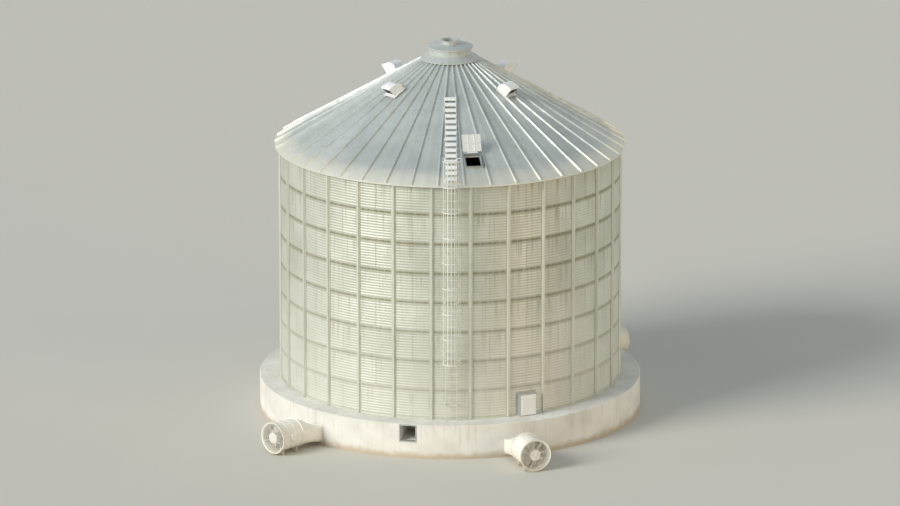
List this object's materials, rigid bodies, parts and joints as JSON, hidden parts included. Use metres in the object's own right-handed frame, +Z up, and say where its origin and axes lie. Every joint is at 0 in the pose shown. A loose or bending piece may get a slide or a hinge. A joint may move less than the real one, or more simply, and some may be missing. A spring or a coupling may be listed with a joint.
{
  "type": "flat-bottom corrugated steel grain silo",
  "caption": "Round corrugated steel grain silo with a ribbed conical roof on a raised concrete plinth, with hatch, door, ladders, vents and aeration fans.",
  "frame": {"origin": "centre of the plinth's underside, on the ground", "axes": "+Z up along the bin's axis, -Y towards the front, where the conveyor port is in the plinth"},
  "size_m": [14.4, 16.4384, 14.18],
  "materials": {
    "plinth_concrete": "whitewashed concrete, matte, stained near the ground",
    "floor_concrete": "trowelled concrete, matte",
    "wall_steel": "weathered galvanised corrugated sheet",
    "roof_steel": "weathered galvanised ribbed sheet",
    "vent_steel": "galvanised, smooth",
    "hatch_steel": "galvanised, darkened",
    "door_steel": "galvanised plate, bright",
    "ladder_steel": "galvanised bar, bright",
    "fan_paint": "off-white paint, satin, dusty"
  },
  "bodies": {
    "silo": {"plinth_ring": "plinth_concrete", "floor_slab": "floor_concrete", "wall_segment_01": "wall_steel", "wall_left_of_door": "wall_steel", "wall_right_of_door": "wall_steel", "wall_over_door": "wall_steel", "wall_segment_03": "wall_steel", "wall_segment_04": "wall_steel", "wall_segment_05": "wall_steel", "wall_segment_06": "wall_steel", "wall_segment_07": "wall_steel", "wall_segment_08": "wall_steel", "wall_segment_09": "wall_steel", "wall_segment_10": "wall_steel", "wall_segment_11": "wall_steel", "wall_segment_12": "wall_steel", "wall_segment_13": "wall_steel", "wall_segment_14": "wall_steel", "eave_ring": "wall_steel", "roof_sector_1": "roof_steel", "roof_sector_2": "roof_steel", "roof_sector_3": "roof_steel", "roof_sector_4": "roof_steel", "roof_sector_5": "roof_steel", "roof_sector_6": "roof_steel", "roof_sector_7": "roof_steel", "peak_cap": "roof_steel", "roof_vent_1": "vent_steel", "roof_vent_2": "vent_steel", "roof_vent_3": "vent_steel", "roof_vent_4": "vent_steel", "hatch_curb": "hatch_steel", "door_frame": "door_steel", "wall_ladder": "ladder_steel", "cage_left": "ladder_steel", "cage_right": "ladder_steel", "cage_front": "ladder_steel", "roof_ladder": "ladder_steel", "aeration_fan_1": "fan_paint", "aeration_fan_2": "fan_paint", "aeration_fan_3": "fan_paint", "aeration_fan_4": "fan_paint", "fan_duct_1": "fan_paint", "fan_duct_2": "fan_paint", "fan_duct_3": "fan_paint", "fan_duct_4": "fan_paint"},
    "hatch_lid": {"hatch_lid": "hatch_steel"},
    "door_leaf": {"door_leaf": "door_steel"}
  },
  "joints": [
    {"name": "hatch_hinge", "type": "hinge", "parent": "silo", "child": "hatch_lid", "pos_m": [1.92013, -4.89242, 11.15388], "axis": [-0.9309, -0.3653, 0], "range_deg": [-150, 0]},
    {"name": "door_hinge", "type": "hinge", "parent": "silo", "child": "door_leaf", "pos_m": [4.38551, -4.96997, 1.725], "axis": [0, 0, 1], "range_deg": [0, 120]}
  ]
}
